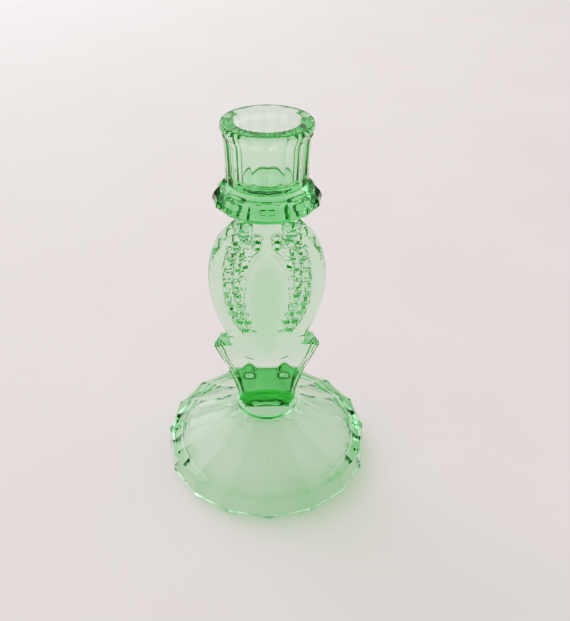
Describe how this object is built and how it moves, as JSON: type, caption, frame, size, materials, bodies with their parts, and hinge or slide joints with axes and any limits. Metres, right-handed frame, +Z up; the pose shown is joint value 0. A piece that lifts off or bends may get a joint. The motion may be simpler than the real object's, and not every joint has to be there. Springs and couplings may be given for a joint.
{
  "type": "pressed glass candlestick",
  "caption": "Pale green pressed-glass candlestick with a fluted foot, an egg-shaped stem plaque in a stepped calyx, a drip pan and a round socket for a household candle.",
  "frame": {"origin": "middle of the face that the foot stands on", "axes": "+Z up through the socket, -Y towards the front face of the stem plaque, X across the plaque"},
  "size_m": [0.099, 0.099, 0.1696],
  "materials": {
    "green_glass": "clear pale green, fire-polished"
  },
  "bodies": {
    "root": {"foot": "green_glass", "foot_boss": "green_glass", "calyx": "green_glass", "stem_plaque": "green_glass", "stem_panels": "green_glass", "stem_beads": "green_glass", "stem_scrolls": "green_glass", "neck_knop": "green_glass", "drip_pan": "green_glass", "candle_socket": "green_glass", "socket_lip": "green_glass"}
  },
  "joints": []
}
